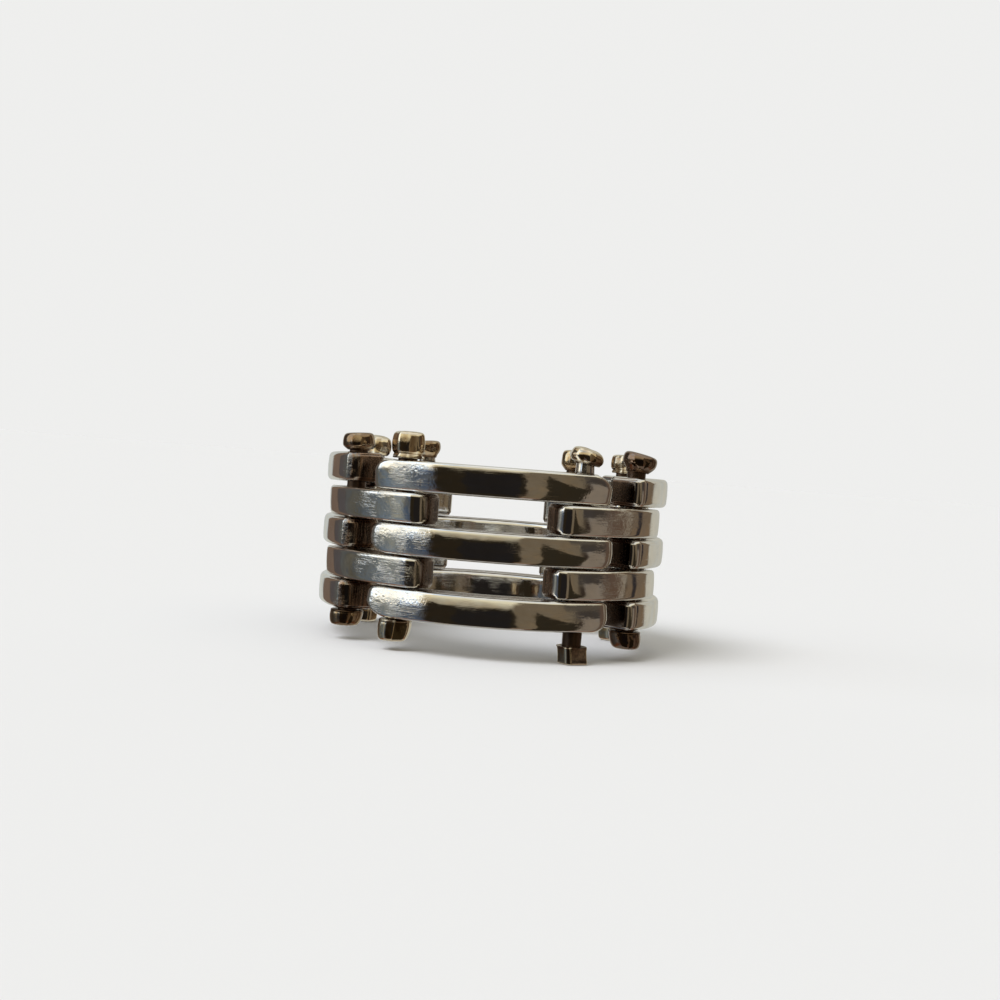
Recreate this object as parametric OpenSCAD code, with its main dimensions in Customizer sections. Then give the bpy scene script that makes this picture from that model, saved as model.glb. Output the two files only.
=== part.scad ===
// A finger ring built like a flat chain: five rows of curved links, hinged on eight headed pins.
// The finger axis is +Z and the front faces -Y. The ring lies on its side, on its longest lower caps,
// with the origin on the finger axis at the surface that it lies on.
// Rows are numbered 1 to 5 from the top. Pins are numbered 1 to 8 from the front left, by the right side.

/* [Band] */
// Inside diameter of the band
inner_d = 17.44; // [16.5:0.01:19]
// Wall of the band, from the finger outwards
wall = 2.48; // [2.3:0.01:3]
// Height of one link, along the finger
link_h = 1.84; // [1.4:0.02:2.2]
// Gap between one row of links and the next
row_gap = 0.08; // [0.06:0.01:0.3]

/* [Links] */
// Angle from one pin to the other on a long link
long_span = 63; // [60:0.5:66]
// How far the long links at the front and back run on past their pins
front_reach = 2; // [1.3:0.05:2.1]
// How far the long links at the sides run on past their pins
side_reach = 1; // [0.95:0.05:1.4]
// How far the short links run on past their pins towards the front and back
short_reach = 1.8; // [1:0.05:1.9]
// How far the short links run on past their pins towards the sides
short_side_reach = 2.25; // [1:0.05:2.4]
// Radius of the long edges of a link
edge_r = 0.3; // [0.1:0.05:0.5]
// Radius of the outer corners of the long links at the front and back, seen from above
front_corner_r = 0.75; // [0.3:0.05:1]
// Radius of the outer corners of the long links at the sides, seen from above
side_corner_r = 1; // [0.3:0.05:1]
// Radius of the short links' outer corners towards the front and back, seen from above
short_corner_r = 1; // [0.3:0.05:1]
// Radius of the short links' outer corners towards the sides, seen from above
short_side_corner_r = 0.3; // [0.3:0.05:1]
// Radius of the inner corners of every link, seen from above
inner_corner_r = 0.45; // [0.2:0.05:0.8]
// Radius of the slight crown across a link's outer face
crown_r = 4; // [3:0.5:20]

/* [Pins] */
// Diameter of a pin
pin_d = 1.18; // [0.9:0.02:1.3]
// Play of a pin in its holes, on the diameter
pin_play = 0.06; // [0.02:0.01:0.12]
// How far the pins lie outside the middle of the wall
pin_offset = 0.24; // [0:0.02:0.3]

/* [Caps] */
// Clearance of a cap around its pin, on the diameter
socket_play = 0.04; // [0.02:0.01:0.08]
// Metal left over the end of a pin, inside its cap
cap_roof = 0.4; // [0.3:0.05:0.5]
// Radius of a cap's outer edge
cap_edge = 0.22; // [0.1:0.01:0.25]

/* [Hidden] */
$fn = 64;
inner_r = inner_d / 2;
outer_r = inner_r + wall;
pin_r = inner_r + wall / 2 + pin_offset;
row_pitch = link_h + row_gap;
rows = 5;
short_span = 90 - long_span;
cutter_margin = 0.2;

// Columns of the two cap tables: bare pin below the cap, height of the cap, radius at its neck,
// radius at its widest, radius at its end, and lean to the right in degrees. One row for each pin.
BARE = 0;
HEIGHT = 1;
NECK_R = 2;
WIDE_R = 3;
END_R = 4;
LEAN = 5;
UPPER_CAPS = [
    [0.10, 1.64, 0.92, 1.03, 0.90, 0],
    [0.68, 0.92, 0.80, 1.00, 0.92, 12],
    [0.34, 1.18, 0.72, 0.92, 1.02, 14],
    [0.20, 1.30, 0.85, 1.00, 0.90, 0],
    [0.12, 1.50, 0.90, 1.02, 0.92, 0],
    [0.30, 1.20, 0.80, 0.98, 0.90, 0],
    [0.16, 1.40, 0.88, 1.00, 0.90, 0],
    [0.38, 1.11, 0.70, 0.98, 0.88, 0],
];
LOWER_CAPS = [
    [0.06, 1.35, 0.98, 1.02, 0.94, 0],
    [0.86, 1.10, 0.86, 0.95, 0.92, 0],
    [0.06, 1.14, 0.98, 1.02, 0.84, 0],
    [0.56, 1.40, 0.92, 1.00, 0.92, 0],
    [0.10, 1.30, 0.94, 1.00, 0.90, 0],
    [0.66, 1.30, 0.90, 1.00, 0.90, 0],
    [0.60, 1.36, 0.92, 1.00, 0.92, 0],
    [0.06, 1.03, 0.98, 0.99, 0.84, 0],
];

// The ends of each kind of link, as the reach past the pin and the radius of the outer corner
REACH = 0;
CORNER_R = 1;
FRONT_END = [front_reach, front_corner_r];
SIDE_END = [side_reach, side_corner_r];
SHORT_END = [short_reach, short_corner_r];
SHORT_SIDE_END = [short_side_reach, short_side_corner_r];

// The longest lower caps carry the ring, so they set how high the rows lie
foot = max([for (cap = LOWER_CAPS) cap[BARE] + cap[HEIGHT]]);
stack_h = rows * row_pitch - row_gap;
stack_top = foot + stack_h;

SIDES = ["front", "right", "back", "left"];
CORNERS = ["front_right", "back_right", "back_left", "front_left"];
LONG_ROWS = [1, 3, 5];
SHORT_ROWS = [2, 4];
PINS = [1:8];

function long_name(side, row) = str("long_", SIDES[side], "_row", row);
function short_name(corner, row) = str("short_", CORNERS[corner], "_row", row);
function pin_name(pin) = str("pin_", pin);
function upper_name(pin) = str("upper_cap_", pin);
function lower_name(pin) = str("lower_cap_", pin);

// Angle round the finger from the front, growing towards the right side
function side_angle(side) = side * 90;
function corner_angle(corner) = corner * 90 + 45;
function pin_angle(pin) =
    side_angle(floor((pin - 1) / 2)) + (pin % 2 == 1 ? -long_span / 2 : long_span / 2);
function end_angle(span, end) = span / 2 + end[REACH] / pin_r * 180 / PI;
function row_z(row) = foot + (rows - row) * row_pitch;
function cap_top(cap) = cap[BARE] + cap[HEIGHT];

// Turns what lies along +X to an angle round the finger
module at_angle(angle) {
    rotate(angle - 90) children();
}

// Section of a link, with the finger axis along Y: rounded edges and a slightly crowned outer face
module link_section() {
    intersection() {
        union() {
            translate([inner_r + edge_r, 0]) square([wall - 2 * edge_r, link_h]);
            translate([inner_r, edge_r]) square([wall, link_h - 2 * edge_r]);
            for (x = [inner_r + edge_r, outer_r - edge_r], y = [edge_r, link_h - edge_r])
                translate([x, y]) circle(edge_r);
        }
        translate([outer_r - crown_r, link_h / 2]) circle(crown_r, $fn = 128);
    }
}

// What rounding takes off one corner of a link's end. The end face lies along +X, with the link on
// its -Y side. way is 1 for the corner at the outer wall and -1 for the one at the inner wall.
module corner_cut(wall_r, way, corner_r) {
    centre_r = wall_r - way * corner_r;
    centre = [sqrt(centre_r * centre_r - corner_r * corner_r), -corner_r];
    outwards = centre / centre_r * way;
    difference() {
        polygon([
            centre,
            [centre.x, cutter_margin],
            [wall_r + way * cutter_margin, cutter_margin],
            centre + outwards * (corner_r + cutter_margin),
        ]);
        translate(centre) circle(corner_r);
    }
}

// Outline of a link from above, about +X, whose two ends lie on its -Y and its +Y side
module link_plan(span, ends) {
    far = outer_r + 2 * cutter_margin;
    low = end_angle(span, ends[0]);
    high = end_angle(span, ends[1]);
    difference() {
        polygon([
            [0, 0],
            [far * cos(low), -far * sin(low)],
            [far / cos(max(low, high) / 2), 0] * 1.2,
            [far * cos(high), far * sin(high)],
        ]);
        for (way = [0, 1]) {
            mirror([0, 1 - way, 0]) rotate(end_angle(span, ends[way])) {
                corner_cut(outer_r, 1, ends[way][CORNER_R]);
                corner_cut(inner_r, -1, inner_corner_r);
            }
        }
    }
}

// A curved link about +X, drilled for two pins that are span apart
module link(span, ends) {
    difference() {
        intersection() {
            rotate_extrude($fn = 256) link_section();
            linear_extrude(link_h) link_plan(span, ends);
        }
        for (way = [-1, 1]) {
            rotate(way * span / 2)
                translate([pin_r, 0, -cutter_margin])
                cylinder(d = pin_d + pin_play, h = link_h + 2 * cutter_margin);
        }
    }
}

module long_link(side, row) {
    end = side % 2 == 0 ? FRONT_END : SIDE_END;
    color("silver")
        translate([0, 0, row_z(row)])
        at_angle(side_angle(side))
        link(long_span, [end, end]);
}

module short_link(corner, row) {
    ends = corner % 2 == 0 ? [SHORT_END, SHORT_SIDE_END] : [SHORT_SIDE_END, SHORT_END];
    color("silver")
        translate([0, 0, row_z(row)])
        at_angle(corner_angle(corner))
        link(short_span, ends);
}

// Stands what is drawn on the XY plane over a pin's place, without turning it
module over_pin(pin, z) {
    place = [pin_r * sin(pin_angle(pin)), -pin_r * cos(pin_angle(pin)), z];
    translate(place) children();
}

// A plain round pin through all five rows, which ends inside its two caps
module pin(number) {
    bottom = foot - cap_top(LOWER_CAPS[number - 1]) + cap_roof;
    top = stack_top + cap_top(UPPER_CAPS[number - 1]) - cap_roof;
    color("silver")
        over_pin(number, bottom)
        cylinder(d = pin_d, h = top - bottom);
}

// Half section of a cap that stands on Y = 0, widest a third of the way up, with a rounded end
module cap_section(cap) {
    wide_y = cap[HEIGHT] / 3;
    round_y = cap[HEIGHT] - cap_edge;
    polygon([
        [0, 0],
        [cap[NECK_R], 0],
        [cap[WIDE_R], wide_y],
        [cap[END_R], round_y],
        [cap[END_R] - cap_edge, cap[HEIGHT]],
        [0, cap[HEIGHT]],
    ]);
    translate([cap[END_R] - cap_edge, round_y]) circle(cap_edge);
}

// A cap that stands on Z = 0 on the end of its pin, whose socket is straight even where the cap leans
module cap_body(cap) {
    difference() {
        rotate([0, cap[LEAN], 0]) rotate_extrude() cap_section(cap);
        translate([0, 0, -1])
            cylinder(d = pin_d + socket_play, h = 1 + cap[HEIGHT] - cap_roof + socket_play / 2);
    }
}

module upper_cap(number) {
    cap = UPPER_CAPS[number - 1];
    color("darkgoldenrod")
        over_pin(number, stack_top + cap[BARE])
        cap_body(cap);
}

module lower_cap(number) {
    cap = LOWER_CAPS[number - 1];
    color("darkgoldenrod")
        over_pin(number, foot - cap[BARE])
        mirror([0, 0, 1])
        cap_body(cap);
}

for (side = [0:3], row = LONG_ROWS)
    long_link(side, row);
for (corner = [0:3], row = SHORT_ROWS)
    short_link(corner, row);
for (number = PINS)
    pin(number);
for (number = PINS)
    upper_cap(number);
for (number = PINS)
    lower_cap(number);
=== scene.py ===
import math

import bmesh
import bpy
from mathutils import Matrix, Vector, noise


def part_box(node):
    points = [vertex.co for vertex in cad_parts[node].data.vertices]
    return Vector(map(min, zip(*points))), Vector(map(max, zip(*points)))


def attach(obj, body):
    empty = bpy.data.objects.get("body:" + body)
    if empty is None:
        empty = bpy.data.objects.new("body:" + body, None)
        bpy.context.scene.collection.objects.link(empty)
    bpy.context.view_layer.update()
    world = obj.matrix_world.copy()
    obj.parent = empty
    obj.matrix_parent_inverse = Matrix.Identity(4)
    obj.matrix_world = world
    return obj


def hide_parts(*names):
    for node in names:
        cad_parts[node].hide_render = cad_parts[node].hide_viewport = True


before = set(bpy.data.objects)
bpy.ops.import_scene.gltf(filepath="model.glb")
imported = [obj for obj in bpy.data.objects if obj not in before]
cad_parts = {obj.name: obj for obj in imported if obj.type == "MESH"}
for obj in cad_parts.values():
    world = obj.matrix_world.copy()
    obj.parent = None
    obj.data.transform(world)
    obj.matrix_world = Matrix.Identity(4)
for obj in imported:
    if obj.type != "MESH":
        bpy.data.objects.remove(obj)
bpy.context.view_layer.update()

MM = 0.001

# The band, as in the CAD source: the wall and height of a link, the degrees between a link's two pins,
# and how far the pins lie from the finger axis
INNER_R = 8.72
WALL = 2.48
MIDDLE_R = INNER_R + WALL / 2
LINK_H = 1.84
LONG_SPAN = 63
SHORT_SPAN = 90 - LONG_SPAN
PIN_R = 10.2
INNER_CORNER = 0.45
HOLE_R = 0.62

# The socket in a cap, and the metal left over it
SOCKET_R = 0.61
CAP_ROOF = 0.4

# How each kind of link is finished: the rounding of its long edges, and the radius of the crown
# across its outer face
LINK_KINDS = {
    "front": (0.17, 4.0),
    "back": (0.30, 4.5),
    "side": (0.28, 8.0),
    "short": (0.20, 9.0),
}

# The ends of each kind of link, as the reach past the pin and the radius of the outer corner
FRONT_END = (2.0, 0.75)
SIDE_END = (1.0, 1.0)
SHORT_END = (1.8, 1.0)
SHORT_SIDE_END = (2.25, 0.3)

# The creased front ends of the side links. After which end it is come the degrees that the crease
# turns at the outer face, the degrees that it turns at the end face, and the radius between them.
CREASED_CORNERS = {
    "long_left": (1, 34, 0, 1.15),
    "long_right": (0, 0, 38, 0.85),
}
CREASE_R = 0.3

# Share of a rounded corner's turn that its crease takes up
CREASE_SHARE = 0.3

# How much further single links run than the rest of their kind, at their left and right ends
END_GROWTH = {
    "long_front_row1": (0.15, -0.10),
    "long_front_row3": (0.05, 0.22),
    "long_front_row5": (0.08, 0.25),
    "short_front_left_row2": (0.15, 0.05),
}

# Degrees that hand filing tilts an outer face upwards
FACE_TILTS = {
    "long_front_row1": -4.0,
    "long_front_row5": 4.0,
    "short_front_left_row2": -3.5,
    "short_front_left_row4": -3.0,
    "short_front_right_row4": 1.5,
}

# How far the right end of a link rides up its pin
LIFTED_ENDS = {"long_left_row1": 0.3}

# How deep hand polishing leaves an outer face uneven, in slow swells and in quicker ones, and how much
# it makes the upper and lower edges waver
SLOW_SWELL = 0.013
QUICK_SWELL = 0.007
EDGE_WAVER = 0.004

SIDES = {"front": 0, "right": 90, "back": 180, "left": 270}
CORNERS = {"front_right": 45, "back_right": 135, "back_left": 225, "front_left": 315}

# How far the corners of the front links are worn away, as seen from the front: upper left, lower
# left, upper right, lower right. Every other corner is rounded by the usual radius.
WORN_CORNERS = {
    "long_front_row1": (0.80, 0.20, 1.10, 0.20),
    "long_front_row3": (0.60, 0.90, 0.25, 0.60),
    "long_front_row5": (0.50, 1.15, 0.25, 0.85),
}
USUAL_ROUND = 0.3

# The pins that are worn bright under their upper caps, and how much slimmer that leaves them
BRIGHT_NECKS = (2, 6)
NECK_WEAR = 0.08

# Worn patches on the outer faces, as distance along the link from its middle, height, reach along the
# link, and strength
WORN_PATCHES = {
    "long_front_row1": [(-4.7, -0.1, 2.0, 0.9), (-7.4, 0.3, 1.8, 0.2), (4.9, -0.6, 1.2, 0.25)],
    "long_front_row3": [(-5.4, 0.1, 3.2, 1.0), (6.4, 0.4, 0.9, 0.3)],
    "long_front_row5": [(-5.4, 0.1, 3.0, 1.0), (5.4, 0.5, 1.4, 0.3)],
    "short_front_left_row2": [(0.6, 0.0, 3.0, 0.7)],
    "short_front_left_row4": [(1.6, 0.1, 2.8, 1.3)],
    "short_front_right_row2": [(-0.4, 0.0, 1.8, 0.8)],
    "short_front_right_row4": [(-0.4, 0.1, 1.4, 0.5)],
    "long_left_row1": [(5.85, 0.2, 0.8, 1.0)],
    "long_left_row3": [(5.85, 0.0, 0.8, 1.2)],
    "long_left_row5": [(5.85, 0.0, 0.8, 1.2)],
}

# End faces, by the left side links, the short links at the left, the other short links and the rest:
# how far round a corner the painted shade on them begins and is full, and how coarsely they are filed
END_FINISHES = {
    "long_left": (0.22, 0.45, 1.0),
    "short_left": (0.70, 0.95, 0.45),
    "short": (0.88, 0.98, 1.0),
    "other": (0.60, 0.90, 0.15),
}


def clamp01(value):
    return min(max(value, 0.0), 1.0)


def ease(low, high, value):
    """0 below low and 1 above high, with a soft step between them."""
    t = clamp01((value - low) / (high - low))
    return t * t * (3 - 2 * t)


def wander(place, scale, seed):
    """A smooth random value from -1 to 1 that changes over about 1 / scale millimetres."""
    return noise.noise(Vector(place) * scale + Vector((seed * 7.31, seed * 3.17, seed * 5.71)))


# Meshes. The loops of edges along a straight link and a pin lie this far apart, a pin's ends are rounded
# by this much, and an edge stays sharp where its faces meet at more than this many degrees.
LINK_STEP = 0.32
PIN_STEP = 0.25
PIN_ROUND = 0.08
SHARP_ANGLE = 40


def finish_piece(bm, name, material, replaced):
    """Makes a piece from a bmesh in millimetres and stands it in for its CAD node."""
    bmesh.ops.scale(bm, vec=(MM, MM, MM), verts=bm.verts)
    mesh = bpy.data.meshes.new(name)
    bm.to_mesh(mesh)
    bm.free()
    return finish_object(mesh, name, material, replaced)


def finish_object(mesh, name, material, replaced):
    """Makes a piece from a mesh in metres and stands it in for its CAD node."""
    mesh.shade_smooth()
    mesh.set_sharp_from_angle(angle=math.radians(SHARP_ANGLE))
    mesh.materials.clear()
    mesh.materials.append(material)
    piece = bpy.data.objects.new(name, mesh)
    bpy.context.scene.collection.objects.link(piece)
    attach(piece, "root")
    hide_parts(replaced)
    return piece


def with_modifiers(bm, *modifiers):
    """The mesh that a bmesh gives after modifiers, each a kind and its settings. Frees the bmesh."""
    mesh = bpy.data.meshes.new("unfinished")
    bm.to_mesh(mesh)
    bm.free()
    holder = bpy.data.objects.new("unfinished", mesh)
    bpy.context.scene.collection.objects.link(holder)
    for kind, settings in modifiers:
        modifier = holder.modifiers.new(kind.lower(), kind)
        for key, value in settings.items():
            setattr(modifier, key, value)
    graph = bpy.context.evaluated_depsgraph_get()
    made = bpy.data.meshes.new_from_object(holder.evaluated_get(graph))
    bpy.data.objects.remove(holder)
    bpy.data.meshes.remove(mesh)
    return made


def bevel_edges(bm, edges, offset, segments):
    bmesh.ops.bevel(bm, geom=edges, offset=offset, offset_type="OFFSET", segments=segments,
                    profile=0.5, affect="EDGES", material=-1)


def cut_across(bm, axis, stations):
    """Adds a loop of edges at each station along an axis."""
    for station in stations:
        point = Vector((0, 0, 0))
        point[axis] = station
        normal = Vector((0, 0, 0))
        normal[axis] = 1
        geometry = bm.verts[:] + bm.edges[:] + bm.faces[:]
        bmesh.ops.bisect_plane(bm, geom=geometry, dist=1e-5, plane_co=point, plane_no=normal)


def straight_link(lengths, corners, edge_round):
    """A link before it is bent, with its outer face towards -Y: a block with all its edges rounded.
    Its left and right ends lie at the two lengths from its middle and have the two outer corners."""
    bm = bmesh.new()
    bmesh.ops.create_cube(bm, size=1)
    bmesh.ops.scale(bm, vec=(sum(lengths), WALL, LINK_H), verts=bm.verts)
    bmesh.ops.translate(bm, vec=((lengths[1] - lengths[0]) / 2, 0, 0), verts=bm.verts)
    inner_corner = max(INNER_CORNER, edge_round + 0.12)
    for end, across, radius, segments in ((-1, -1, corners[0], 7), (1, -1, corners[1], 7),
                                          (-1, 1, inner_corner, 4), (1, 1, inner_corner, 4)):
        upright = [e for e in bm.edges if abs(e.verts[0].co.z - e.verts[1].co.z) > LINK_H / 2
                   and e.verts[0].co.y * across > WALL / 2 - 1e-3 and e.verts[0].co.x * end > 0
                   and abs(e.verts[0].co.x) > lengths[(end + 1) // 2] - 1e-3]
        bevel_edges(bm, upright, radius, segments)
    rims = [e for e in bm.edges if abs(e.verts[0].co.z - e.verts[1].co.z) < 1e-4]
    bevel_edges(bm, rims, edge_round, 4)
    low, high = corners[0] - lengths[0], lengths[1] - corners[1]
    steps = max(2, round((high - low) / LINK_STEP))
    cut_across(bm, 0, [low + (high - low) * i / steps for i in range(1, steps)])
    cut_across(bm, 1, [-0.5, 0.0, 0.5])
    flat_top = LINK_H / 2 - edge_round - 0.05
    cut_across(bm, 2, [-flat_top, -0.25, 0.0, 0.25, flat_top])
    return bm


def crease_corner(place, length, corner_r, creased):
    """Bends a rounded outer corner so that part of its turn is taken in a crease beside one face."""
    end, at_outer, at_end, radius = creased
    way = 1 if end else -1
    past = way * place.x - (length - corner_r)
    outward = -place.y - (WALL / 2 - corner_r)
    if past <= 0 or outward <= 0:
        return
    inset = corner_r - math.hypot(past, outward)
    turned = math.degrees(math.atan2(past, outward)) / 90
    first = CREASE_SHARE if at_outer else 0.0
    last = 1 - CREASE_SHARE if at_end else 1.0
    middle = 90 - at_outer - at_end
    wider = radius - CREASE_R
    hub_x = length - CREASE_R - wider * math.cos(math.radians(at_end))
    hub_y = WALL / 2 - CREASE_R - wider * math.cos(math.radians(at_outer))
    held = at_outer + middle * clamp01((turned - first) / (last - first))
    facing = held
    if turned < first:
        facing = at_outer * turned / first
    elif turned > last:
        facing = 90 - at_end * (1 - turned) / (1 - last)
    held, facing = math.radians(held), math.radians(facing)
    reach = max(0.0, CREASE_R - inset)
    if inset > CREASE_R:
        wider *= (corner_r - inset) / (corner_r - CREASE_R)
    place.x = way * (hub_x + wider * math.sin(held) + reach * math.sin(facing))
    place.y = -(hub_y + wider * math.cos(held) + reach * math.cos(facing))


def round_corners(place, half_length):
    """Pulls the corners of a straight link's two ends in, as seen from its outer face."""
    past_x = abs(place.x) - (half_length - USUAL_ROUND)
    past_z = abs(place.z) - (LINK_H / 2 - USUAL_ROUND)
    if past_x <= 0 or past_z <= 0:
        return
    share = max(past_x, past_z) / math.hypot(past_x, past_z)
    place.x = math.copysign(half_length - USUAL_ROUND + past_x * share, place.x)
    place.z = math.copysign(LINK_H / 2 - USUAL_ROUND + past_z * share, place.z)


def wear_corners(bm, middle_z, worn):
    """Brings the corners of a bent front link down in curves, as seen from the front."""
    widths = -min(v.co.x for v in bm.verts), max(v.co.x for v in bm.verts)
    for vert in bm.verts:
        place = vert.co
        end = 0 if place.x < 0 else 1
        height = place.z - middle_z
        depth = worn[2 * end + (0 if height > 0 else 1)]
        past = 1 + (abs(place.x) - widths[end]) / (1.25 * depth)
        if past > 0:
            drop = depth * (1 - math.sqrt(1 - min(past, 0.95) ** 2))
            place.z = middle_z + height * (1 - drop / (LINK_H / 2))


def shape_link(bm, node, lengths, corners, crown_r, seed):
    """Gives a straight link its crown, its rounded corners and the unevenness of hand polishing."""
    creased = CREASED_CORNERS.get(node[:-5])
    slope = math.tan(math.radians(FACE_TILTS.get(node, 0.0)))
    lift = LIFTED_ENDS.get(node, 0.0)
    growth = END_GROWTH.get(node, (0.0, 0.0))
    for vert in bm.verts:
        place = vert.co
        end = 0 if place.x < 0 else 1
        if creased and creased[0] == end:
            crease_corner(place, lengths[end], corners[end], creased)
        round_corners(place, lengths[end])
        grown = growth[end] * ease(lengths[end] - 2.2, lengths[end], abs(place.x))
        place.x += math.copysign(1, place.x) * grown
        outward = clamp01(-place.y / (WALL / 2))
        place.y += outward * place.z * place.z / (2 * crown_r)
        place.y += outward * (slope * place.z + abs(slope) * LINK_H / 2)
        slow = wander((place.x, 0.4 * place.y, 1.3 * place.z), 0.28, seed)
        quick = wander((place.x, 0.6 * place.y, 1.2 * place.z), 0.6, seed + 20)
        place.y += outward * (SLOW_SWELL * (1 + slow) + QUICK_SWELL * (1 + quick))
        flat = abs(place.z) / (LINK_H / 2)
        waver = EDGE_WAVER * wander((place.x, place.y, 3 * seed), 0.35, seed + 40)
        place.z -= math.copysign(flat * (0.005 + waver), place.z)
        place.z += lift * clamp01(0.5 + 0.5 * place.x / lengths[1])


def bend_link(bm, angle, middle_z):
    """Bends a straight link round the finger axis and lifts it to its row."""
    for vert in bm.verts:
        place = vert.co
        turn = math.radians(angle) + place.x / MIDDLE_R
        radius = MIDDLE_R - place.y
        vert.co = (radius * math.sin(turn), -radius * math.cos(turn), place.z + middle_z)


def drill(mesh, angles, radius, low_z, high_z):
    """Drills a mesh in millimetres for the pins at the given angles."""
    bits = bmesh.new()
    for angle in angles:
        turn = math.radians(angle)
        middle = (PIN_R * math.sin(turn), -PIN_R * math.cos(turn), (low_z + high_z) / 2)
        bmesh.ops.create_cone(bits, cap_ends=True, segments=48, radius1=radius, radius2=radius,
                              depth=high_z - low_z + 1, matrix=Matrix.Translation(middle))
    bit_mesh = bpy.data.meshes.new("drill_bits")
    bits.to_mesh(bit_mesh)
    bits.free()
    bit_object = bpy.data.objects.new("drill_bits", bit_mesh)
    bpy.context.scene.collection.objects.link(bit_object)
    bm = bmesh.new()
    bm.from_mesh(mesh)
    drilled = with_modifiers(bm, ("BOOLEAN", {"operation": "DIFFERENCE", "solver": "EXACT",
                                              "object": bit_object}))
    bpy.data.objects.remove(bit_object)
    bpy.data.meshes.remove(bit_mesh)
    return drilled


def wear_at(patches, along, height):
    """How worn a point of an outer face is, by the strongest patch that reaches it."""
    worn = 0.0
    for patch_along, patch_height, reach, strength in patches:
        distance = math.hypot((along - patch_along) / reach, (height - patch_height) / 1.6)
        worn = max(worn, strength * (1 - ease(0.3, 1.0, distance)))
    return worn


def end_finish(node):
    """The row of END_FINISHES that a link has."""
    if "short" in node:
        return END_FINISHES["short_left" if "left" in node else "short"]
    return END_FINISHES["long_left" if "left" in node else "other"]


def mark_link(mesh, node, angle, middle_z, seed):
    """Stores where each point lies along its link, how sheltered it is, how worn it is, how much of
    an end face it belongs to, and how coarsely that end is filed."""
    exposed = {1: 1, 5: -1}.get(int(node[-1]), 0)
    patches = WORN_PATCHES.get(node, [(3.1 * math.sin(seed * 2.3), 0.0, 1.3, 0.5)])
    shade_from, shade_full, coarse = end_finish(node)
    mesh.attributes.new("along", "FLOAT_VECTOR", "POINT")
    for name in ("recess", "worn", "end_face", "filed"):
        mesh.attributes.new(name, "FLOAT", "POINT")
    along, recess, worn, end_face, filed = (
        mesh.attributes[name] for name in ("along", "recess", "worn", "end_face", "filed"))
    for index, vert in enumerate(mesh.vertices):
        x, y, z = vert.co
        turn = math.atan2(x, -y) - math.radians(angle)
        turn = (turn + math.pi) % (2 * math.pi) - math.pi
        arc = turn * MIDDLE_R
        depth = INNER_R + WALL - math.hypot(x, y)
        height = z - middle_z
        along.data[index].vector = (arc + seed * 23.7, depth, height + seed * 4.1)
        sheltered = ease(0.12, 0.9, depth)
        if vert.normal.z * exposed > 0.6:
            sheltered *= 0.35
        sheltered *= 1 - 0.75 * ease(WALL - 0.5, WALL - 0.1, depth)
        recess.data[index].value = sheltered
        worn.data[index].value = wear_at(patches, arc, height) * (1 - sheltered)
        tangent = Vector((-y, x, 0)).normalized()
        # How squarely a point faces along the link, which sets how much painted shade an end face takes
        end_face.data[index].value = ease(shade_from, shade_full, abs(vert.normal.dot(tangent)))
        filed.data[index].value = end_face.data[index].value * coarse


def make_link(node, kind, angle, span, ends, material, seed):
    """One link in place of its CAD node, with its left and right ends."""
    edge_round, crown_r = LINK_KINDS[kind]
    low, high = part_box(node)
    middle_z = (low.z + high.z) / 2 / MM
    lengths = [MIDDLE_R * (math.radians(span / 2) + reach / PIN_R) for reach, corner in ends]
    corners = [corner for reach, corner in ends]
    solid = with_modifiers(straight_link(lengths, corners, edge_round),
                           ("SUBSURF", {"levels": 1, "render_levels": 1}))
    bm = bmesh.new()
    bm.from_mesh(solid)
    bpy.data.meshes.remove(solid)
    shape_link(bm, node, lengths, corners, crown_r, seed)
    bend_link(bm, angle, middle_z)
    if node in WORN_CORNERS:
        wear_corners(bm, middle_z, WORN_CORNERS[node])
    bent = bpy.data.meshes.new("bent_link")
    bm.to_mesh(bent)
    bm.free()
    mesh = drill(bent, (angle - span / 2, angle + span / 2), HOLE_R,
                 middle_z - LINK_H / 2, middle_z + LINK_H / 2)
    mark_link(mesh, node, angle, middle_z, seed)
    mesh.transform(Matrix.Scale(MM, 4))
    mesh.name = "polished_" + node
    return finish_object(mesh, "polished_" + node, material, node)


def make_pin(number, material):
    """A drawn wire pin with softened ends, dark with tarnish and painted shade. A bright neck is worn
    slightly thinner towards its cap."""
    node = f"pin_{number}"
    low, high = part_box(node)
    middle = (low + high) / 2 / MM
    radius = (high.x - low.x) / 2 / MM
    length = (high.z - low.z) / MM
    bm = bmesh.new()
    bmesh.ops.create_cone(bm, cap_ends=True, segments=48, radius1=radius, radius2=radius, depth=length)
    rims = [e for e in bm.edges if abs(e.verts[0].co.z - e.verts[1].co.z) < 1e-4]
    bevel_edges(bm, rims, PIN_ROUND, 2)
    loops = int((length - 0.5) / PIN_STEP)
    cut_across(bm, 2, [-length / 2 + 0.3 + PIN_STEP * i for i in range(loops)])
    for vert in bm.verts:
        sway = 0.004 * (1 + wander(vert.co, 0.9, number))
        reach = math.hypot(vert.co.x, vert.co.y)
        if reach > 0.1:
            vert.co.xy *= (reach - sway) / reach
    neck = row1_top - middle.z
    if number in BRIGHT_NECKS:
        for vert in bm.verts:
            vert.co.xy *= 1 - NECK_WEAR * clamp01((vert.co.z - neck) / 0.7)
    bmesh.ops.translate(bm, vec=middle, verts=bm.verts)
    # All but the worn necks take the brown film, which is tarnish and painted shade
    recess = bm.verts.layers.float.new("recess")
    for vert in bm.verts:
        bright = number in BRIGHT_NECKS and vert.co.z > row1_top + 0.05
        vert[recess] = 0.1 if bright else 1.15
    return finish_piece(bm, f"drawn_{node}", material, node)


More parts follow.
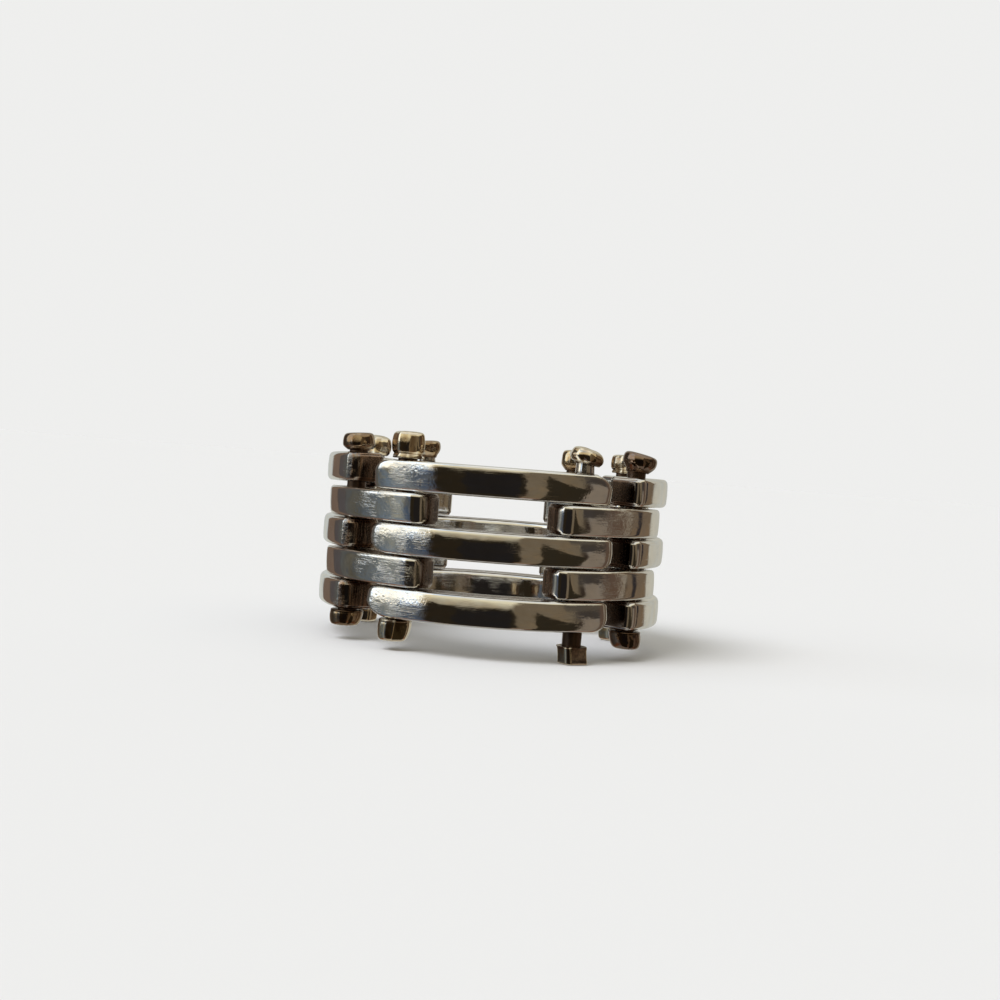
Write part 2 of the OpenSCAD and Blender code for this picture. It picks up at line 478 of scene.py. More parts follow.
# Caps. Each kind's profile gives its outer wall from the base up: share of the widest radius, and
# share of the height. After the kind come bare pin below the cap, height, widest radius, lean to the
# right in degrees, how many flats it has, how deep they are, how lumpy it is, and how brown.
CAP_PROFILES = {
    "barrel": [(0.86, 0.00), (0.89, 0.03), (0.89, 0.12), (0.83, 0.16), (0.84, 0.19), (0.97, 0.25),
               (1.00, 0.50), (0.96, 0.84), (0.86, 0.97), (0.50, 1.00)],
    "bead": [(0.66, 0.00), (0.72, 0.07), (0.94, 0.22), (1.00, 0.32), (0.985, 0.52), (0.955, 0.74),
             (0.90, 0.88), (0.78, 0.975), (0.50, 1.00)],
    "thimble": [(0.63, 0.00), (0.67, 0.08), (0.90, 0.30), (1.00, 0.50), (0.99, 0.80), (0.88, 0.96),
                (0.55, 1.00)],
    "nut": [(0.84, 0.00), (0.97, 0.03), (1.00, 0.10), (0.97, 0.20), (0.97, 0.50), (0.98, 0.80),
            (1.00, 0.90), (0.95, 0.98), (0.50, 1.00)],
    "cup": [(0.92, 0.00), (1.00, 0.06), (0.96, 0.13), (0.99, 0.22), (0.97, 0.55), (0.88, 0.84),
            (0.76, 0.97), (0.42, 1.00)],
    "nugget": [(0.74, 0.00), (0.90, 0.10), (1.00, 0.32), (0.98, 0.62), (0.86, 0.90), (0.45, 1.00)],
}
UPPER_CAPS = [
    ("barrel", 0.10, 1.64, 1.09, 0, 7, 0.13, 0.030, 0.1),
    ("nugget", 0.60, 0.92, 1.14, 12, 5, 0.12, 0.095, 0.5),
    ("thimble", 0.34, 1.18, 1.10, 12, 0, 0.0, 0.012, 1.0),
    ("barrel", 0.20, 1.30, 1.00, 0, 7, 0.09, 0.025, 0.4),
    ("bead", 0.12, 1.50, 1.02, 0, 0, 0.0, 0.030, 0.2),
    ("thimble", 0.30, 1.20, 0.98, -5, 0, 0.0, 0.030, 0.5),
    ("nugget", 0.16, 1.40, 1.00, 4, 6, 0.08, 0.045, 0.3),
    ("bead", 0.38, 1.11, 1.03, -4, 0, 0.0, 0.018, 0.65),
]
LOWER_CAPS = [
    ("cup", 0.06, 1.35, 1.07, -6, 9, 0.10, 0.018, 0.1),
    ("nut", 0.86, 1.10, 1.02, 6, 6, 0.17, 0.006, 0.8),
    ("cup", 0.06, 1.14, 1.03, 8, 0, 0.0, 0.015, 1.0),
    ("barrel", 0.56, 1.40, 1.00, 0, 8, 0.10, 0.020, 0.4),
    ("cup", 0.10, 1.30, 1.00, 0, 7, 0.08, 0.020, 0.6),
    ("nut", 0.66, 1.30, 1.00, 0, 6, 0.12, 0.012, 0.5),
    ("barrel", 0.60, 1.36, 1.00, 0, 9, 0.09, 0.020, 0.3),
    ("cup", 0.06, 1.03, 1.06, -7, 0, 0.0, 0.015, 0.6),
]

# How crisply one flat of a cap meets the next
FLAT_SHARPNESS = 80.0


def flats_before(turn, count, depth, seed):
    """The hand-filed flats of a cap that face a direction, each as its number, how far it lies from the
    cap's middle as a share of the radius, and how squarely it faces."""
    for flat in range(count):
        facing = 2 * math.pi * (flat + 0.35 * math.sin(seed + 2.4 * flat)) / count + seed
        square = math.cos(turn - facing)
        if square > 0.3:
            yield flat, 1 - depth * (0.75 + 0.5 * math.sin(seed * 3 + 1.7 * flat)), square


def flats_share(turn, rise, count, depth, seed):
    """How far in the flats bring a cap's wall, as a share of its radius."""
    if not count:
        return 1.0
    total = math.exp(-FLAT_SHARPNESS)
    for flat, inset, square in flats_before(turn, count, depth, seed):
        inset -= 0.05 * depth * math.sin(seed + 5.1 * flat) * (rise - 0.5)
        total += math.exp(-FLAT_SHARPNESS * inset / square)
    return -math.log(total) / FLAT_SHARPNESS


def edge_share(turn, rise, count, depth, seed):
    """How close a point of a cap's wall is to an edge between two flats or to the rim of one."""
    if not count:
        return 0.0
    walls = [1.0] + [inset / square for flat, inset, square in flats_before(turn, count, depth, seed)]
    walls.sort()
    beside = ease(0.3, 0.8, math.exp(-14 * (walls[1] - walls[0])))
    rim = ease(0.82, 0.90, rise) * (1 - ease(0.94, 1.0, rise))
    return max(beside * (1 - ease(0.95, 1.0, rise)), rim)


def spin_cap(kind, height, radius):
    """A cap standing on Z = 0, with the socket for its pin, as a closed shell."""
    socket_top = height - CAP_ROOF + 0.02
    wall = [(radius * share, height * rise) for share, rise in CAP_PROFILES[kind]]
    outline = [(SOCKET_R, 0.0)] + wall + [(0.0, height)]
    hold = 0.06
    socket = [(SOCKET_R, 0.0), (SOCKET_R, hold), (SOCKET_R, socket_top - hold),
              (SOCKET_R, socket_top), (SOCKET_R - hold, socket_top), (0.0, socket_top)]
    bm = bmesh.new()
    for points in (outline, socket):
        verts = [bm.verts.new((x, 0, z)) for x, z in points]
        for a, b in zip(verts, verts[1:]):
            bm.edges.new((a, b))
    bmesh.ops.spin(bm, geom=bm.verts[:] + bm.edges[:], cent=(0, 0, 0), axis=(0, 0, 1),
                   angle=2 * math.pi, steps=24, use_merge=True)
    bmesh.ops.remove_doubles(bm, verts=bm.verts, dist=1e-4)
    bmesh.ops.recalc_face_normals(bm, faces=bm.faces)
    return bm


def shape_cap(bm, height, tilts, lean, flats, depth, lumps, seed):
    """Gives a spun cap its flats, lumps and lean, and leaves its socket straight. Marks its edges.
    A cap that tilts leans with its base, and any other one slants from a level base."""
    tilt = Matrix.Rotation(math.radians(lean), 3, "Y")
    slant = math.tan(math.radians(lean))
    edge = bm.verts.layers.float.new("edge")
    for vert in bm.verts:
        place = vert.co
        reach = math.hypot(place.x, place.y)
        outside = ease(SOCKET_R + 0.01, SOCKET_R + 0.12, reach)
        if place.z > height - CAP_ROOF + 0.05:
            outside = 1.0
        if outside == 0:
            continue
        turn = math.atan2(place.y, place.x)
        rise = place.z / height
        vert[edge] = outside * edge_share(turn, rise, flats, depth, seed)
        share = flats_share(turn, rise, flats, depth, seed)
        share = 1 + (share - 1) * ease(0.0, 0.12, rise) * outside
        lump = lumps * outside * (0.7 * wander(place, 1.1, seed) + 0.5 * wander(place, 2.4, seed + 9))
        if reach > 0.05:
            grown = max(SOCKET_R + 0.02, reach * share + lump) if outside < 1 else reach * share + lump
            place.xy *= grown / reach
        place.z += 0.6 * lump * ease(0.3, 0.9, rise)
        if tilts:
            place.xyz = place.lerp(tilt @ place, outside)
        else:
            place.x += outside * slant * place.z


def make_cap(number, end, cap, material):
    """One cap in place of its CAD node, at the upper or the lower end of its pin."""
    kind, bare, height, radius, lean, flats, depth, lumps, brown = cap
    node = f"{end}_cap_{number}"
    seed = number * 1.7 + (0 if end == "upper" else 13.3)
    solid = with_modifiers(spin_cap(kind, height, radius),
                           ("SUBSURF", {"levels": 2, "render_levels": 2}))
    bm = bmesh.new()
    bm.from_mesh(solid)
    bpy.data.meshes.remove(solid)
    shape_cap(bm, height, end == "upper", lean, flats, depth, lumps, seed)
    recess = bm.verts.layers.float.new("recess")
    tone = bm.verts.layers.float.new("brown")
    for vert in bm.verts:
        reach = math.hypot(vert.co.x, vert.co.y)
        vert[recess] = 1 - ease(0.0, 0.35, vert.co.z / height) * ease(0.2, 0.6, reach + vert.co.z)
        vert[tone] = brown
    low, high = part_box(f"pin_{number}")
    pin_x, pin_y = (low.x + high.x) / 2 / MM, (low.y + high.y) / 2 / MM
    if end == "lower":
        bmesh.ops.scale(bm, vec=(1, 1, -1), verts=bm.verts)
        bmesh.ops.reverse_faces(bm, faces=bm.faces)
        base_z = row5_bottom - bare
    else:
        base_z = row1_top + bare
    bmesh.ops.translate(bm, vec=(pin_x, pin_y, base_z), verts=bm.verts)
    sunk = min(v.co.z for v in bm.verts)
    if sunk < 0:
        bmesh.ops.translate(bm, vec=(0, 0, -sunk), verts=bm.verts)
    return finish_piece(bm, f"hammered_{node}", material, node)


# Materials. Base colours are linear light.
BRIGHT_SILVER = (0.90, 0.885, 0.86, 1)
WARM_SILVER = (0.84, 0.815, 0.775, 1)
WIRE_SILVER = (0.88, 0.865, 0.84, 1)
LIGHT_GOLD = (0.84, 0.68, 0.44, 1)
DEEP_GOLD = (0.40, 0.27, 0.14, 1)
# A painted highlight for the edges between the caps' flats and for their rims
EDGE_HIGHLIGHT_GOLD = (0.96, 0.86, 0.68, 1)
BROWN_BRONZE = (0.24, 0.17, 0.135, 1)
LINK_TARNISH = (0.22, 0.15, 0.11, 1)
# Brown of the pins: tarnish, and painted shade where they show in the gaps by caps and links
PIN_TARNISH_AND_SHADE = (0.13, 0.085, 0.06, 1)
CAP_TARNISH = (0.10, 0.055, 0.03, 1)
# Painted shade for the end faces of the links, which face the gaps between them
END_FACE_SHADE = (0.085, 0.06, 0.045, 1)
FILED_SILVER = (0.40, 0.27, 0.19, 1)

# How deep the finish of each kind of piece goes, in millimetres
LINK_RELIEF = 0.015
PIN_RELIEF = 0.002
CAP_RELIEF = 0.010


def add_node(tree, kind, inputs=(), **settings):
    """Adds a node. inputs pairs a socket's name or number with a value or another node's output."""
    node = tree.nodes.new(kind)
    for key, value in settings.items():
        setattr(node, key, value)
    for key, value in dict(inputs).items():
        if isinstance(value, bpy.types.NodeSocket):
            tree.links.new(value, node.inputs[key])
        else:
            node.inputs[key].default_value = value
    return node


def calc(tree, operation, first, second=0.0):
    node = add_node(tree, "ShaderNodeMath", {0: first, 1: second}, operation=operation)
    return node.outputs[0]


def soft_step(tree, value, low, high, start=0.0, end=1.0):
    """start where the value is below low, end where it is above high, and a soft step between."""
    node = add_node(tree, "ShaderNodeMapRange", {"Value": value, "From Min": low, "From Max": high,
                                                 "To Min": start, "To Max": end},
                    interpolation_type="SMOOTHSTEP")
    return node.outputs[0]


def mix_colours(tree, share, first, second, way="MIX"):
    node = add_node(tree, "ShaderNodeMix", {0: share, 6: first, 7: second}, data_type="RGBA",
                    blend_type=way)
    return node.outputs[2]


def noise_value(tree, place, scale, detail=2.0, roughness=0.5):
    node = add_node(tree, "ShaderNodeTexNoise", {"Vector": place, "Scale": scale, "Detail": detail,
                                                 "Roughness": roughness})
    return node.outputs["Fac"]


def new_group(name, inputs, outputs):
    """A shader node group, with its input and output nodes."""
    group = bpy.data.node_groups.new(name, "ShaderNodeTree")
    for in_out, sockets in (("INPUT", inputs), ("OUTPUT", outputs)):
        for socket_name, kind in sockets:
            group.interface.new_socket(name=socket_name, in_out=in_out, socket_type=kind)
    entry = group.nodes.new("NodeGroupInput")
    leave = group.nodes.new("NodeGroupOutput")
    return group, entry.outputs, leave.inputs


def scratches_group():
    """Fine polishing lines that run along the piece, and a few that cross it."""
    group, given, put = new_group("polishing_scratches",
                                  [("Place", "NodeSocketVector"), ("Amount", "NodeSocketFloat")],
                                  [("Mask", "NodeSocketFloat"), ("Height", "NodeSocketFloat")])
    lines = None
    for turn, stretch, thin, strength in ((0.0, 0.30, 0.030, 1.0), (0.5, 0.45, 0.022, 0.8),
                                          (-0.8, 0.40, 0.018, 0.7)):
        turned = add_node(group, "ShaderNodeMapping",
                          {"Vector": given["Place"], "Rotation": (0.0, turn, 0.0),
                           "Scale": (stretch, 5.0, 6.0)})
        wave = noise_value(group, turned.outputs[0], 1.0, 2.0)
        off = calc(group, "ABSOLUTE", calc(group, "SUBTRACT", wave, 0.5))
        line = calc(group, "MULTIPLY", soft_step(group, off, 0.0, thin, 1.0, 0.0), strength)
        lines = line if lines is None else calc(group, "MAXIMUM", lines, line)
    patchy = soft_step(group, noise_value(group, given["Place"], 0.9, 3.0), 0.38, 0.68)
    amount = calc(group, "MULTIPLY", patchy, given["Amount"])
    mask = calc(group, "MULTIPLY", lines, amount)
    group.links.new(mask, put["Mask"])
    group.links.new(calc(group, "MULTIPLY", mask, -1.0), put["Height"])
    return group


def dents_group():
    """Small nicks, shallow hammer dents and a fine grain, where the piece is worn."""
    group, given, put = new_group("nicks_and_dents",
                                  [("Place", "NodeSocketVector"), ("Amount", "NodeSocketFloat")],
                                  [("Height", "NodeSocketFloat")])
    cells = add_node(group, "ShaderNodeTexVoronoi", {"Vector": given["Place"], "Scale": 3.6,
                                                     "Randomness": 1.0})
    pit = soft_step(group, cells.outputs["Distance"], 0.05, 0.42, -1.0, 0.0)
    chosen = add_node(group, "ShaderNodeSeparateColor", {0: cells.outputs["Color"]})
    pit = calc(group, "MULTIPLY", pit, soft_step(group, chosen.outputs[0], 0.35, 0.75))
    swell = calc(group, "SUBTRACT", noise_value(group, given["Place"], 1.9, 3.0, 0.55), 0.5)
    grain = calc(group, "SUBTRACT", noise_value(group, given["Place"], 6.5, 3.0, 0.6), 0.5)
    both = calc(group, "ADD", calc(group, "MULTIPLY", pit, 0.5), calc(group, "MULTIPLY", swell, 1.3))
    both = calc(group, "ADD", both, calc(group, "MULTIPLY", grain, 0.9))
    group.links.new(calc(group, "MULTIPLY", both, given["Amount"]), put["Height"])
    return group


def tarnish_group():
    """Brown film where a piece is sheltered, broken up by wear."""
    group, given, put = new_group("tarnish",
                                  [("Place", "NodeSocketVector"), ("Recess", "NodeSocketFloat")],
                                  [("Mask", "NodeSocketFloat")])
    cloud = calc(group, "SUBTRACT", noise_value(group, given["Place"], 1.1, 4.0, 0.6), 0.5)
    level = calc(group, "ADD", given["Recess"], calc(group, "MULTIPLY", cloud, 0.9))
    group.links.new(soft_step(group, level, 0.35, 1.05), put["Mask"])
    return group


def file_marks_group():
    """Upright file marks across the end of a link."""
    group, given, put = new_group("file_marks", [("Place", "NodeSocketVector")],
                                  [("Mask", "NodeSocketFloat")])
    stretched = add_node(group, "ShaderNodeMapping", {"Vector": given["Place"],
                                                      "Scale": (0.4, 5.5, 0.35)})
    wave = noise_value(group, stretched.outputs[0], 1.0, 3.0, 0.6)
    group.links.new(soft_step(group, wave, 0.40, 0.60), put["Mask"])
    return group


def use_group(tree, group, **inputs):
    node = tree.nodes.new("ShaderNodeGroup")
    node.node_tree = group
    for key, value in inputs.items():
        if isinstance(value, bpy.types.NodeSocket):
            tree.links.new(value, node.inputs[key])
        else:
            node.inputs[key].default_value = value
    return node.outputs


def new_material(name):
    material = bpy.data.materials.new(name)
    material.use_nodes = True
    tree = material.node_tree
    shader = next(n for n in tree.nodes if n.type == "BSDF_PRINCIPLED")
    return material, tree, shader


def attribute(tree, name):
    return add_node(tree, "ShaderNodeAttribute", attribute_name=name)


def place_in_mm(tree):
    """Where a point lies in its object, in millimetres."""
    coords = add_node(tree, "ShaderNodeTexCoord")
    scaled = add_node(tree, "ShaderNodeMapping", {"Vector": coords.outputs["Object"],
                                                  "Scale": (1 / MM, 1 / MM, 1 / MM)})
    return scaled.outputs[0]


def bump(tree, height, depth_mm):
    node = add_node(tree, "ShaderNodeBump", {"Height": height, "Strength": 1.0,
                                             "Distance": depth_mm * MM})
    return node.outputs[0]


def link_silver(scratches, dents, tarnish, file_marks):
    """Polished silver: bright, finely scratched, nicked where it is worn, brown in its recesses, darker
    on its end faces with painted shade.
    """
    material, tree, shader = new_material("polished_link_silver")
    place = attribute(tree, "along").outputs["Vector"]
    recess = attribute(tree, "recess").outputs["Fac"]
    worn = attribute(tree, "worn").outputs["Fac"]
    end_face = attribute(tree, "end_face").outputs["Fac"]
    film = use_group(tree, tarnish, Place=place, Recess=recess)["Mask"]
    filed = attribute(tree, "filed").outputs["Fac"]
    marks = calc(tree, "MULTIPLY", use_group(tree, file_marks, Place=place)["Mask"], filed)
    lines = use_group(tree, scratches, Place=place, Amount=0.8)
    nicks = use_group(tree, dents, Place=place, Amount=calc(tree, "ADD", worn, 0.04))["Height"]
    cloud = noise_value(tree, place, 0.6, 3.0)
    silver = mix_colours(tree, soft_step(tree, cloud, 0.35, 0.7), BRIGHT_SILVER, WARM_SILVER)
    colour = mix_colours(tree, film, silver, LINK_TARNISH)
    # Painted shade on the end faces, then lighter brown file marks streaked through it
    end_shade = calc(tree, "MULTIPLY", end_face, 0.68)
    colour = mix_colours(tree, end_shade, colour, END_FACE_SHADE)
    colour = mix_colours(tree, calc(tree, "MULTIPLY", marks, 0.8), colour, FILED_SILVER)
    tree.links.new(colour, shader.inputs["Base Color"])
    rough = soft_step(tree, cloud, 0.3, 0.8, 0.03, 0.08)
    rough = calc(tree, "ADD", rough, calc(tree, "MULTIPLY", film, 0.22))
    rough = calc(tree, "ADD", rough, calc(tree, "MULTIPLY", lines["Mask"], 0.10))
    tree.links.new(rough, shader.inputs["Roughness"])
    shader.inputs["Metallic"].default_value = 1.0
    deep = calc(tree, "ADD", calc(tree, "MULTIPLY", worn, 0.5), 0.06)
    height = calc(tree, "ADD", calc(tree, "MULTIPLY", lines["Height"], deep), nicks)
    height = calc(tree, "ADD", height, calc(tree, "MULTIPLY", marks, 0.5))
    tree.links.new(bump(tree, height, LINK_RELIEF), shader.inputs["Normal"])
    return material


def pin_silver(scratches, tarnish):
    """Drawn silver wire, a little duller than the links."""
    material, tree, shader = new_material("drawn_pin_silver")
    place = place_in_mm(tree)
    recess = attribute(tree, "recess").outputs["Fac"]
    film = use_group(tree, tarnish, Place=place, Recess=recess)["Mask"]
    lines = use_group(tree, scratches, Place=place, Amount=1.0)
    # The brown film on a pin is tarnish, and painted shade in the gaps by its caps and links
    colour = mix_colours(tree, film, WIRE_SILVER, PIN_TARNISH_AND_SHADE)
    tree.links.new(colour, shader.inputs["Base Color"])
    rough = calc(tree, "ADD", 0.10, calc(tree, "MULTIPLY", film, 0.2))
    tree.links.new(rough, shader.inputs["Roughness"])
    shader.inputs["Metallic"].default_value = 1.0
    tree.links.new(bump(tree, lines["Height"], PIN_RELIEF), shader.inputs["Normal"])
    return material


def cap_gold_tone(dents, scratches, tarnish):
    """Gold-toned metal, hammered and filed by hand, brown towards its base, with a painted highlight on
    its edges.
    """
    material, tree, shader = new_material("hammered_cap_gold_tone")
    place = place_in_mm(tree)
    recess = attribute(tree, "recess").outputs["Fac"]
    brown = attribute(tree, "brown").outputs["Fac"]
    edge = attribute(tree, "edge").outputs["Fac"]
    film = use_group(tree, tarnish, Place=place, Recess=recess)["Mask"]
    lines = use_group(tree, scratches, Place=place, Amount=0.6)
    hammered = use_group(tree, dents, Place=place, Amount=0.5)["Height"]
    cloud = noise_value(tree, place, 1.4, 3.0)
    gold = mix_colours(tree, soft_step(tree, cloud, 0.38, 0.62), LIGHT_GOLD, DEEP_GOLD)
    bronzed = mix_colours(tree, calc(tree, "MULTIPLY", brown, 0.9), gold, BROWN_BRONZE)
    colour = mix_colours(tree, film, bronzed, CAP_TARNISH)
    # Painted highlight: the edges between flats and the rims are tinted bright cream
    colour = mix_colours(tree, calc(tree, "MULTIPLY", edge, 0.85), colour, EDGE_HIGHLIGHT_GOLD)
    tree.links.new(colour, shader.inputs["Base Color"])
    rough = soft_step(tree, cloud, 0.3, 0.8, 0.05, 0.13)
    rough = calc(tree, "ADD", rough, calc(tree, "MULTIPLY", film, 0.2))
    tree.links.new(rough, shader.inputs["Roughness"])
    shader.inputs["Metallic"].default_value = 1.0
    height = calc(tree, "ADD", calc(tree, "MULTIPLY", lines["Height"], 0.1), hammered)
    tree.links.new(bump(tree, height, CAP_RELIEF), shader.inputs["Normal"])
    return material


# Studio. The world is what the metal mirrors: a bright window to the left, a dark room in front, a
# warm wall to the right and a pale wall behind. Each panel is its range of angles round the ring, its
# range of elevations, how far its edges fall for each degree to the right, how soft its edges are, and
# its colour. Later panels cover earlier ones. The camera sees a plain pale backdrop instead.
WORLD_PANELS = [
    ((-210, 210), (-55, -24), 0.0, 4.0, (0.20, 0.095, 0.055)),
    ((-215, 215), (-100, -50), 0.0, 5.0, (0.36, 0.34, 0.31)),
    ((-210, -146), (-50, 60), 0.0, 1.5, (0.56, 0.57, 0.53)),
    ((-146, -130), (-40, 50), 0.0, 1.0, (0.165, 0.115, 0.085)),
    ((-130, -118), (-40, 40), 0.0, 1.0, (0.085, 0.073, 0.070)),
    ((-118, -96), (-40, 40), 0.0, 1.5, (0.09, 0.092, 0.088)),
    ((-98, -86), (-40, 7), 0.0, 3.0, (0.115, 0.125, 0.127)),
    ((-86, -76), (-40, 7), 0.0, 3.0, (0.15, 0.17, 0.18)),
    ((-76, -58), (-40, 7), 0.0, 3.0, (0.23, 0.255, 0.265)),
    ((-60, -43), (-40, 7), 0.0, 4.0, (0.09, 0.105, 0.13)),
    ((-98, -44), (5, 60), 0.0, 2.0, (1.20, 1.26, 1.28)),
    ((-42, 20), (-60, 11), 0.0, 2.0, (0.020, 0.015, 0.009)),
    ((-20, 16), (-30, 7), 0.0, 1.0, (0.014, 0.012, 0.011)),
    ((20, 62), (-40, 30), 0.0, 1.5, (0.152, 0.116, 0.074)),
    ((34, 69), (-60, 8), 0.62, 0.8, (0.026, 0.020, 0.012)),
    ((66, 84), (-40, 30), 0.0, 1.5, (0.20, 0.165, 0.13)),
    ((62, 86), (1, 14), 0.0, 1.0, (0.050, 0.041, 0.034)),
    ((54, 88), (12, 30), 0.0, 1.5, (0.080, 0.066, 0.050)),
    ((84, 98), (-40, 30), 0.0, 2.0, (0.10, 0.065, 0.045)),
    ((98, 103), (-40, 40), 0.0, 1.0, (0.26, 0.22, 0.17)),
    ((104, 130), (-40, 40), 0.0, 1.5, (0.16, 0.115, 0.075)),
    ((110, 114), (-40, 30), 0.0, 0.8, (0.03, 0.025, 0.025)),
    ((130, 210), (-50, 60), 0.0, 1.5, (0.50, 0.49, 0.43)),
]

# The sky over the panels, as the colour that each range of elevations fades to
SKY_BASE = (0.035, 0.024, 0.017, 1)
SKY_STEPS = [
    ((-4, 12), (0.34, 0.29, 0.20, 1)),
    ((12, 26), (0.78, 0.72, 0.52, 1)),
    ((34, 52), (0.74, 0.74, 0.70, 1)),
    ((68, 84), (1.0, 1.0, 0.97, 1)),
]
BACKDROP = (0.86, 0.86, 0.85, 1)
FLOOR_PAINT = (0.778, 0.781, 0.802, 1)
FLOOR_R = 6.0


def band(tree, value, low, high, soft):
    """1 where the value lies between low and high."""
    rise = soft_step(tree, value, low - soft, low + soft)
    fall = soft_step(tree, value, high - soft, high + soft, 1.0, 0.0)
    return calc(tree, "MULTIPLY", rise, fall)


def make_world():
    """What the metal mirrors, by direction, and the backdrop that the camera sees."""
    world = bpy.data.worlds.new("studio")
    bpy.context.scene.world = world
    world.use_nodes = True
    tree = world.node_tree
    tree.nodes.clear()
    direction = add_node(tree, "ShaderNodeTexCoord").outputs["Generated"]
    parts = add_node(tree, "ShaderNodeSeparateXYZ", {0: direction}).outputs
    wobble = add_node(tree, "ShaderNodeTexNoise", {"Vector": direction, "Scale": 3.0, "Detail": 3.0})
    shifts = add_node(tree, "ShaderNodeSeparateColor", {0: wobble.outputs["Color"]}).outputs
    degree = 180 / math.pi
    forward = calc(tree, "MULTIPLY", parts["Y"], -1.0)
    turn = calc(tree, "MULTIPLY", calc(tree, "ARCTAN2", parts["X"], forward), degree)
    rise = calc(tree, "MULTIPLY", calc(tree, "ARCSINE", parts["Z"]), degree)
    turn = calc(tree, "ADD", turn, soft_step(tree, shifts[0], 0.2, 0.8, -3.0, 3.0))
    rise = calc(tree, "ADD", rise, soft_step(tree, shifts[1], 0.2, 0.8, -3.0, 3.0))
    colour = SKY_BASE
    for rises, sky in SKY_STEPS:
        colour = mix_colours(tree, soft_step(tree, rise, *rises), colour, sky)
    for turns, rises, fall, soft, panel in WORLD_PANELS:
        level = rise
        if fall:
            past = calc(tree, "SUBTRACT", turn, turns[0])
            level = calc(tree, "ADD", rise, calc(tree, "MULTIPLY", past, fall))
        mask = calc(tree, "MULTIPLY", band(tree, turn, *turns, soft), band(tree, level, *rises, soft))
        colour = mix_colours(tree, mask, colour, (*panel, 1))
    clutter = soft_step(tree, noise_value(tree, direction, 9.0, 4.0, 0.6), 0.3, 0.7, 0.7, 1.2)
    tint = soft_step(tree, noise_value(tree, direction, 5.0, 3.0, 0.5), 0.4, 0.6)
    tints = mix_colours(tree, tint, (0.84, 0.97, 1.16, 1), (1.14, 1.02, 0.82, 1))
    uneven = add_node(tree, "ShaderNodeVectorMath", {0: tints, "Scale": clutter}, operation="SCALE")
    by_window = band(tree, turn, -112.0, -40.0, 8.0)
    shaded = mix_colours(tree, soft_step(tree, by_window, 0.0, 1.0, 0.2, 1.0), colour,
                         mix_colours(tree, 1.0, colour, uneven.outputs[0], "MULTIPLY"))
    seen = add_node(tree, "ShaderNodeLightPath").outputs["Is Camera Ray"]
    colour = mix_colours(tree, seen, shaded, BACKDROP)
    background = add_node(tree, "ShaderNodeBackground", {"Color": colour, "Strength": 1.0})
    output = add_node(tree, "ShaderNodeOutputWorld")
    tree.links.new(background.outputs[0], output.inputs["Surface"])


def make_floor():
    """A wide, plain floor, which the metal doesn't mirror."""
    bm = bmesh.new()
    bmesh.ops.create_circle(bm, cap_ends=True, segments=96, radius=FLOOR_R)
    mesh = bpy.data.meshes.new("floor")
    bm.to_mesh(mesh)
    bm.free()
    material, tree, shader = new_material("pale_floor")
    shader.inputs["Base Color"].default_value = FLOOR_PAINT
    shader.inputs["Roughness"].default_value = 1.0
    shader.inputs["Specular IOR Level"].default_value = 0.0
    mesh.materials.append(material)
    floor = bpy.data.objects.new("floor", mesh)
    bpy.context.scene.collection.objects.link(floor)
    floor.visible_glossy = False


def make_key_light():
    """A broad, soft light from the upper left, in front of the ring."""
    light = bpy.data.lights.new("soft_key", "SUN")
    light.energy = 1.9
    light.angle = math.radians(35)
    light.color = (0.98, 0.98, 1.0)
    key = bpy.data.objects.new("soft_key", light)
    bpy.context.scene.collection.objects.link(key)
    toward = Vector((0.55, 0.60, -0.95))
    key.rotation_mode = "QUATERNION"
    key.rotation_quaternion = toward.to_track_quat("-Z", "Y")
    key.visible_glossy = False


# The camera, as fitted to the photograph: distance to the middle of the ring, elevation above it, turn
# to the right of the front, and the aim and roll away from a level view of that middle
CAMERA_DISTANCE = 95.0
CAMERA_RISE = math.radians(2.951)
CAMERA_TURN = math.radians(0.984)
AIM_YAW = math.radians(0.152)
AIM_PITCH = math.radians(-1.392)
AIM_ROLL = math.radians(4.409)
FOCAL_SHARE = 1.433065
SENSOR = 36.0


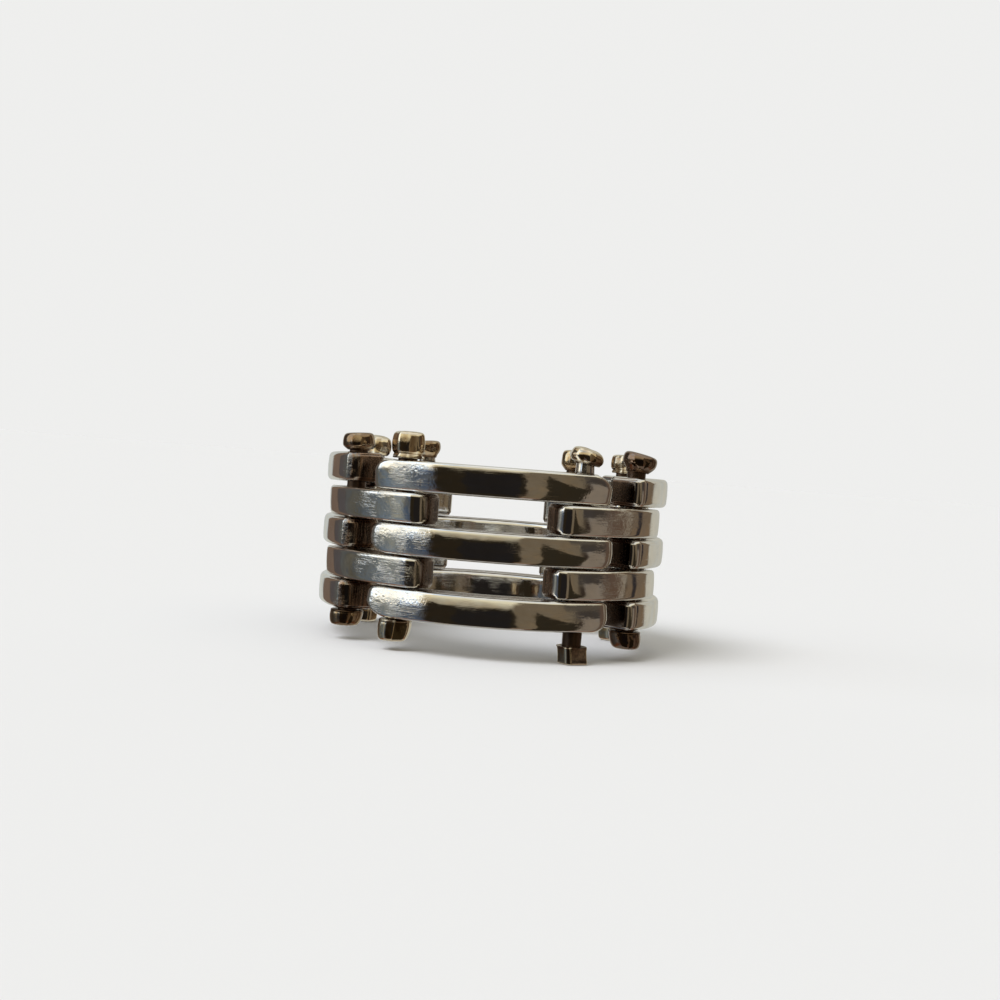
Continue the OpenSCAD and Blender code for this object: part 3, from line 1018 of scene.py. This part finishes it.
def make_camera(middle_z):
    data = bpy.data.cameras.new("photo_camera")
    data.sensor_width = SENSOR
    data.lens = SENSOR * FOCAL_SHARE
    data.clip_start = 0.001
    data.clip_end = 20.0
    camera = bpy.data.objects.new("photo_camera", data)
    bpy.context.scene.collection.objects.link(camera)
    forward = Vector((math.sin(AIM_YAW) * math.cos(AIM_PITCH),
                      math.cos(AIM_YAW) * math.cos(AIM_PITCH), math.sin(AIM_PITCH)))
    right = Vector((math.cos(AIM_YAW), -math.sin(AIM_YAW), 0))
    up = right.cross(forward)
    rolled_right = math.cos(AIM_ROLL) * right + math.sin(AIM_ROLL) * up
    rolled_up = -math.sin(AIM_ROLL) * right + math.cos(AIM_ROLL) * up
    turned = Matrix.Rotation(CAMERA_TURN, 3, "Z")
    axes = turned @ Matrix((rolled_right, rolled_up, -forward)).transposed()
    stand = turned @ Vector((0, -CAMERA_DISTANCE * math.cos(CAMERA_RISE), 0))
    stand.z = middle_z + CAMERA_DISTANCE * math.sin(CAMERA_RISE)
    camera.matrix_world = Matrix.Translation(stand * MM) @ axes.to_4x4()
    bpy.context.scene.camera = camera


row1_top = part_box("long_front_row1")[1].z / MM
row5_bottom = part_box("long_front_row5")[0].z / MM
make_camera((row1_top + row5_bottom) / 2)
make_world()
make_floor()
make_key_light()
bpy.context.scene.view_settings.view_transform = "Standard"

scratches, dents, tarnish = scratches_group(), dents_group(), tarnish_group()
silver = link_silver(scratches, dents, tarnish, file_marks_group())
wire = pin_silver(scratches, tarnish)
gold = cap_gold_tone(dents, scratches, tarnish)

link_count = 0
for side, side_angle in SIDES.items():
    for row in (1, 3, 5):
        link_count += 1
        kind, end = (side, FRONT_END) if side in ("front", "back") else ("side", SIDE_END)
        make_link(f"long_{side}_row{row}", kind, side_angle, LONG_SPAN, (end, end), silver, link_count)
for corner, corner_angle in CORNERS.items():
    ends = (SHORT_END, SHORT_SIDE_END)
    if corner in ("back_right", "front_left"):
        ends = (SHORT_SIDE_END, SHORT_END)
    for row in (2, 4):
        link_count += 1
        node = f"short_{corner}_row{row}"
        make_link(node, "short", corner_angle, SHORT_SPAN, ends, silver, link_count)
for pin in range(1, 9):
    make_pin(pin, wire)
    make_cap(pin, "upper", UPPER_CAPS[pin - 1], gold)
    make_cap(pin, "lower", LOWER_CAPS[pin - 1], gold)
